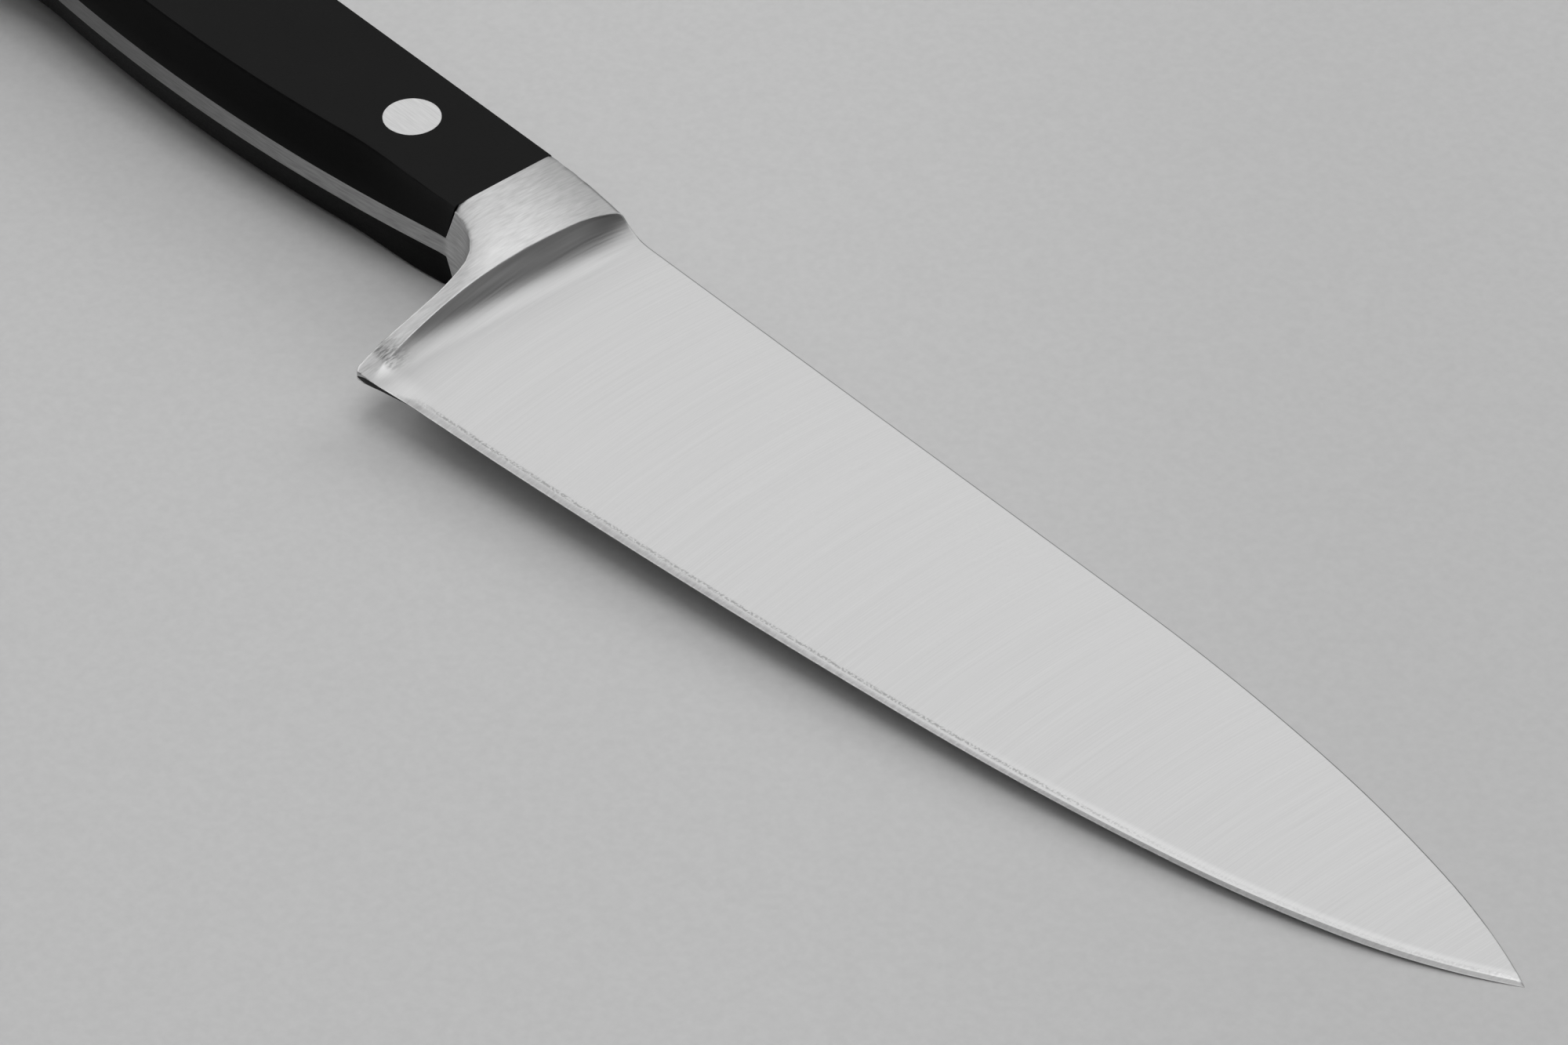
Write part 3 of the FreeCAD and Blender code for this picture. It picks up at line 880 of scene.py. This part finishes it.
def joint_corner(notch):
    """Where the joint meets the finger notch on the upper side."""
    order = np.argsort(notch[:, 0])
    y = notch[-1, 1]
    for _ in range(8):
        x = joint_line_x(y)
        y = np.interp(x, notch[order, 0], notch[order, 1])
    return float(x), float(y)


def left_edge():
    """The sheet's rear edge: up the notch to the joint's corner, then up the joint."""
    notch = np.array(notch_line().points)
    corner = joint_corner(notch)
    notch = np.array([p for p in notch if p[0] > corner[0]] + [corner])
    y = np.linspace(corner[1], SPINE_HEIGHT, JOINT_STATIONS)
    x = joint_line_x(y)
    for _ in range(4):
        x = joint_x(y, np.minimum(bolster_half(np.maximum(x, JOINT_X), y), HANDLE_HALF))
    joint = np.stack([x, y], 1)
    joint[0] = corner
    return notch, joint


def away_from(points, chain):
    """Distance from each point to a chain of points."""
    a, b = chain[:-1], chain[1:]
    side = b - a
    rel = points[..., None, :] - a
    t = np.clip((rel * side).sum(-1) / (side ** 2).sum(-1), 0.0, 1.0)
    return np.sqrt(((rel - t[..., None] * side) ** 2).sum(-1)).min(-1)


def rear_stations(chain, corner_at):
    """Distances up the sheet's rear edge of its rows: edge band, body and spine band."""
    end = lengths(chain)[-1]
    top = shoulder(np.zeros(1))[0]
    band = [top * s for s in EDGE_ROWS] + [top + up for up in FACE_ROWS]
    low, high = top + FACE_BAND, end - SPINE_BAND
    steps = np.arange(1, ROWS_ABOVE_CORNER + 1) / ROWS_ABOVE_CORNER
    above = 1.0 - (1.0 - steps) ** ABOVE_CORNER_GROWTH
    body = np.concatenate([np.linspace(low, corner_at, ROWS_TO_CORNER + 1),
                           corner_at + (high - corner_at) * above])
    return band, body, [end - down for down in SPINE_ROWS]


def row_shares(chain, body):
    """Where the rows between the bands lie on the blade, from their places up the rear edge."""
    ys = at_lengths(chain, body)[:, 1]
    by_height = (ys - ys[0]) / (ys[-1] - ys[0])
    by_length = (body - body[0]) / (body[-1] - body[0])
    return (1.0 - LENGTH_SHARE) * by_height + LENGTH_SHARE * by_length


def column(x_at, shares, rows):
    """Points of one column, whose X depends on the height of each row."""
    x = np.full(rows, 1.0)
    for _ in range(6):
        y = row_heights(x, shares).diagonal()
        x = x_at(y)
    return np.stack([x, y], 1)


def bolster_part(left, ridge):
    """Columns from the rear edge to the ridge, closest at both ends."""
    span = np.hypot(*(ridge - left).T)[:, None]
    ahead = (ridge - left) / span
    first, last = NOTCH_COLUMNS[-1], RIDGE_COLUMNS[0]
    columns = [left + ahead * offset for offset in NOTCH_COLUMNS]
    for t in np.linspace(0.0, 1.0, BOLSTER_COLUMNS + 1)[1:-1]:
        columns.append(left + ahead * (first + (span - first - last) * t))
    return columns + [ridge - ahead * offset for offset in RIDGE_COLUMNS]


def forging_grid():
    """The upper surface of blade and bolster as rows of points, and the corner's row."""
    notch, joint = left_edge()
    chain = np.concatenate([notch, joint[1:]])
    band, body, below_spine = rear_stations(chain, lengths(notch)[-1])
    left = at_lengths(chain, np.concatenate([band, body, below_spine]))
    corner_row = len(band) + ROWS_TO_CORNER
    shares = row_shares(chain, body)

    columns = bolster_part(left, column(ridge_x, shares, len(left)))
    bolster_columns = len(columns) - 1
    for part in HOLLOW_COLUMNS:
        columns.append(column(lambda y, part=part: ridge_x(y) + hollow_reach(y) * part,
                              shares, len(left)))
    for k in range(1, BLADE_COLUMNS + 1):
        part = 1.0 - (1.0 - k / BLADE_COLUMNS) ** BLADE_GROWTH

        def blade_x(y, part=part):
            foot = ridge_x(y) + hollow_reach(y)
            return foot + (TIP_X - foot) * part

        columns.append(column(blade_x, shares, len(left)))

    plan = np.stack(columns, 1)
    half = forging_half(plan[..., 0], plan[..., 1])
    bolster = half[:, :bolster_columns + 1]
    fall = eased(away_from(plan[:, :bolster_columns + 1], notch))
    bolster -= np.minimum(fall, MOST_EASED * bolster)
    grid = np.dstack([plan, half])
    grid[:, -1] = (TIP_X, high_at(TIP_X), EDGE_HALF)
    return grid, corner_row, bolster_columns


def tang_outline(corner):
    """The tang's outline from the joint along belly, butt and back."""
    notch = [p for p in notch_line().points if p[0] < corner[0] - 0.05]
    return np.array([(corner[0], corner[1])] + notch + list(map(tuple, rear_line()[1:])))


def circle(x, y, radius, z, steps=48):
    turns = np.linspace(0.0, 2.0 * math.pi, steps + 1)
    return np.stack([x + radius * np.cos(turns), y + radius * np.sin(turns),
                     np.full(steps + 1, z)], 1)


def plate(shell, outline, holes, z, kind):
    """A flat face at height z with round holes: (x, y, radius)."""
    rings = [outline[:, :2]] + [circle(x, y, r, z)[:-1, :2] for x, y, r in holes]
    points = [Vector(p) for ring in rings for p in ring.tolist()]
    edges, first = [], 0
    for ring in rings:
        count = len(ring)
        edges += [(first + i, first + (i + 1) % count) for i in range(count)]
        first += count
    face = [list(range(len(rings[0])))]
    made = delaunay_2d_cdt(points, edges, face, 1, 1e-7)
    for triangle in made[2]:
        corners = [made[0][i] for i in triangle]
        middle = sum(corners, Vector((0.0, 0.0))) / 3.0
        if all(math.dist(middle, (x, y)) > r for x, y, r in holes):
            shell.add([(c.x, c.y, z) for c in corners], kind)


def belly_y(x):
    """Height of the notch's top and the belly at x."""
    chain = np.array(notch_line().points + list(map(tuple, rear_line())))
    part = chain[(chain[:, 0] < -8.0) & (chain[:, 1] < 0.6 * SPINE_HEIGHT + 1.0)]
    order = np.argsort(part[:, 0])
    return np.interp(x, part[order, 0], part[order, 1])


def rivet_places():
    """Centre of each rivet, in knife coordinates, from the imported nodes."""
    places = {}
    for name in ("front", "middle", "rear"):
        lo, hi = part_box("rivet_male_" + name)
        middle = (np.array(lo) + np.array(hi)) / 2.0 - to_row((0.0, 0.0, 0.0))
        places[name] = (middle[0] / MM, middle[1] / MM)
    return places


TANG_HOLE = 2.8                # radius of the tang's rivet holes
JOINT_ROWS = 5


def forging(materials):
    """Blade, bolster and tang as one closed mesh."""
    grid, corner_row, bolster_columns = forging_grid()
    shell = Shell()
    bevel_rows = len(EDGE_ROWS) - 1

    def kind_at(row, column):
        if row < bevel_rows and column >= bolster_columns:
            return BEVEL
        return BOLSTER if column < bolster_columns else BLADE

    shell.sheet(grid, kind_at)

    top = grid[corner_row:, 0]
    foot = np.stack([joint_x(top[:, 1], TANG_HALF), top[:, 1], np.full(len(top), TANG_HALF)], 1)
    foot[0, 1] = belly_y(foot[0, 0])
    shares = np.linspace(0.0, 1.0, JOINT_ROWS)[:, None, None]
    joint = (foot + (top - foot) * shares).swapaxes(0, 1)
    joint[0, :, 1] = belly_y(joint[0, :, 0])
    shell.sheet(joint, lambda row, column: PLAIN)

    outline = tang_outline(foot[0])
    whole = np.concatenate([outline, foot[::-1][1:-1, :2]])
    holes = [(x, y, TANG_HOLE) for x, y in rivet_places().values()]
    plate(shell, whole, holes, TANG_HALF, PLAIN)
    shell.mirror()

    rear = np.column_stack([outline, np.full(len(outline), TANG_HALF)])
    for chain in (grid[0], grid[:corner_row + 1, 0], joint[0], rear, joint[-1], grid[-1]):
        shell.rim(chain, PLAIN)
    for x, y, radius in holes:
        shell.rim(circle(x, y, radius, TANG_HALF), PLAIN)
    return shell.build("forged_blade", materials)


# ---- the handle scales -----------------------------------------------------------------

BELLY_FACET = 2.65
RUN_OUT = 19.9                 # the belly facet narrows over this length, in front
RUN_OUT_END = 2.6              # and is gone this far behind the joint
FACET_SHARES = (0.0, 0.25, 0.5, 0.75, 0.92, 0.98, 1.02, 1.08)
LEAST_FACET = 0.12
LOWER_FACET_SHARE = 0.5        # the lower scale's facet keeps this much up to the joint
FACET_TOP = 0.66 * SPINE_HEIGHT        # below it the outline is belly, above it back
FLAT_WIDTHS = 0.12             # the flat side's ring lies in by this share of the facet
FLAT_MARGIN = 0.3              # and by this many millimetres
OUTLINE_STEP = 1.1
JOINT_REACH = 8.0              # how far behind the joint its slant pulls the rings along
BUTT_ROUND = 1.6
BUTT_BLEND = (130.0, 135.0)    # behind the heel, where the facets turn into the round butt
SOFT_CORNER = 0.25
HEAD_RADIUS = 4.4
HEAD_SEAT = 6.4
TUBE_RADIUS = 2.6
FRONT_STATIONS = 24


def scale_levels():
    """Height of each ring, on the facets and round the butt, and how far in it lies."""
    line = TANG_HALF + GROUND_LAND
    shares = np.array(FACET_SHARES)
    facet_z = soft_least(HANDLE_HALF, line + (HANDLE_HALF - line) * shares, SOFT_CORNER)
    facet_z = np.concatenate([[TANG_HALF], facet_z, [HANDLE_HALF]])
    turns = np.linspace(0.0, 0.5 * math.pi, len(shares))
    round_z = HANDLE_HALF - BUTT_ROUND * (1.0 - np.sin(turns))
    round_z = np.concatenate([[TANG_HALF], round_z, [HANDLE_HALF]])
    round_in = BUTT_ROUND * (1.0 - np.cos(turns))
    round_in = np.concatenate([[0.0], round_in, [BUTT_ROUND + FLAT_MARGIN]])
    return np.concatenate([[0.0], shares, [1.0]]), facet_z, round_in, round_z


def scale_rings(side):
    """The scale as rings of points, from the tang out to its flat side."""
    corner = (float(joint_x(joint_corner(np.array(notch_line().points))[1], TANG_HALF)), 0.0)
    corner = (corner[0], float(belly_y(corner[0])))
    outline = tang_outline(corner)
    total = lengths(outline)[-1]
    far = np.linspace(0.0, total, int(total / OUTLINE_STEP))
    outline = at_lengths(outline, far)
    ahead = np.gradient(outline, axis=0)
    ahead /= np.hypot(*ahead.T)[:, None]
    inward = np.stack([ahead[:, 1], -ahead[:, 0]], 1)

    butt = smooth_step(-outline[:, 0], *BUTT_BLEND)
    run_out = np.clip((far - RUN_OUT_END) / RUN_OUT, 0.0, 1.0)
    if side > 0.0:
        belly = BELLY_FACET * np.sin(0.5 * math.pi * run_out)
    else:
        growth = (1.0 - LOWER_FACET_SHARE) * smooth_step(run_out, 0.0, 1.0)
        belly = BELLY_FACET * (LOWER_FACET_SHARE + growth)
    width = np.where(outline[:, 1] < FACET_TOP, np.maximum(belly, LEAST_FACET), BACK_FACET)
    along = np.minimum(far, total - far)
    near = np.clip(1.0 - along / JOINT_REACH, 0.0, 1.0)
    lower = far < 0.5 * total

    rings = []
    for share, facet_z, round_in, round_z in zip(*scale_levels()):
        flat = HANDLE_HALF - facet_z < 1e-6
        inset = width * share + (FLAT_WIDTHS * width + FLAT_MARGIN if flat else 0.0)
        inset = inset + (round_in - inset) * butt
        z = facet_z + (round_z - facet_z) * butt
        ring = outline + inward * inset[:, None]
        shift = joint_x(ring[[0, -1], 1], z[[0, -1]]) - ring[[0, -1], 0]
        moved = near * np.where(lower, shift[0], shift[1])
        climb = belly_y(ring[:, 0] + moved) - belly_y(ring[:, 0])
        lift = np.where(lower & (near > 0.0), climb, 0.0)
        ring = np.column_stack([ring[:, 0] + moved, ring[:, 1] + lift, z])
        y = np.linspace(ring[-1, 1], ring[0, 1], FRONT_STATIONS)[1:-1]
        front = np.column_stack([joint_x(y, z[0]), y, np.full(len(y), z[0])])
        rings.append(np.concatenate([ring, front]))
    return rings


def scale(name, materials, side):
    shell = Shell()
    rings = scale_rings(side)
    for low, high in zip(rings[:-1], rings[1:]):
        closed = np.stack([np.concatenate([r, r[:1]]) for r in (low, high)])
        shell.sheet(closed, lambda row, column: 0)
    places = list(rivet_places().values())
    plate(shell, rings[0], [(x, y, TUBE_RADIUS) for x, y in places], TANG_HALF, 0)
    plate(shell, rings[-1], [(x, y, HEAD_RADIUS) for x, y in places], HANDLE_HALF, 0)
    for x, y in places:
        profile = ((TUBE_RADIUS, TANG_HALF), (TUBE_RADIUS, HEAD_SEAT), (HEAD_RADIUS, HEAD_SEAT),
                   (HEAD_RADIUS, HANDLE_HALF))
        shell.sheet(np.stack([circle(x, y, r, z) for r, z in profile]), lambda row, column: 0)
    shell.corners = [(x, y, side * z) for x, y, z in shell.corners]
    return shell.build(name, materials)


# ---- rivets ----------------------------------------------------------------------------

HEAD_EASED = 0.06
HEAD_RINGS = 6
ROUND_STEPS = 64
SHANK_RADIUS = 1.6
SHANK_END = 5.0
TUBE_END = 4.6


def turned(name, place, profile, materials, side):
    """A solid turned about a rivet's axis from (radius, height) pairs."""
    shell = Shell()
    x, y = place
    rings = [circle(x, y, r, side * z, ROUND_STEPS) for r, z in profile]
    shell.sheet(np.stack(rings), lambda row, column: 0)
    return shell.build(name, materials)


def head_profile():
    """A flush head with an eased rim, from its middle down to its seat."""
    rings = [(r * HEAD_RADIUS / HEAD_RINGS, HANDLE_HALF) for r in range(HEAD_RINGS)]
    return rings + [(HEAD_RADIUS - HEAD_EASED, HANDLE_HALF),
                    (HEAD_RADIUS, HANDLE_HALF - HEAD_EASED), (HEAD_RADIUS, HEAD_SEAT)]


def rivet_halves(name, place, materials):
    """The solid shank with its head, and the tube that it is pressed into with the other."""
    shank = [(SHANK_RADIUS, HEAD_SEAT), (SHANK_RADIUS, -SHANK_END), (0.0, -SHANK_END)]
    tube = [(TUBE_RADIUS, HEAD_SEAT), (TUBE_RADIUS, -TUBE_END), (SHANK_RADIUS, -TUBE_END),
            (SHANK_RADIUS, HEAD_SEAT), (0.0, HEAD_SEAT)]
    return (turned("rivet_head_upper_" + name, place, head_profile() + shank, materials, 1.0),
            turned("rivet_head_lower_" + name, place, head_profile() + tube, materials, -1.0))


camera()
floor()
lights()
black, rivet = handle_black(), rivet_steel()

blade = forging([blade_steel(), bolster_steel(), bevel_steel(), wall_steel()])
mark_distances(blade)
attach(blade, "root")
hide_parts("blade_bolster_tang")

for side, sign in (("right", 1.0), ("left", -1.0)):
    piece = scale(side + "_grip", [black], sign)
    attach(piece, "root")
    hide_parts(side + "_scale")

for name, place in rivet_places().items():
    upper, lower = rivet_halves(name, place, [rivet])
    for piece, node in ((upper, "rivet_male_" + name), (lower, "rivet_female_" + name)):
        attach(piece, "root")
        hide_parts(node)
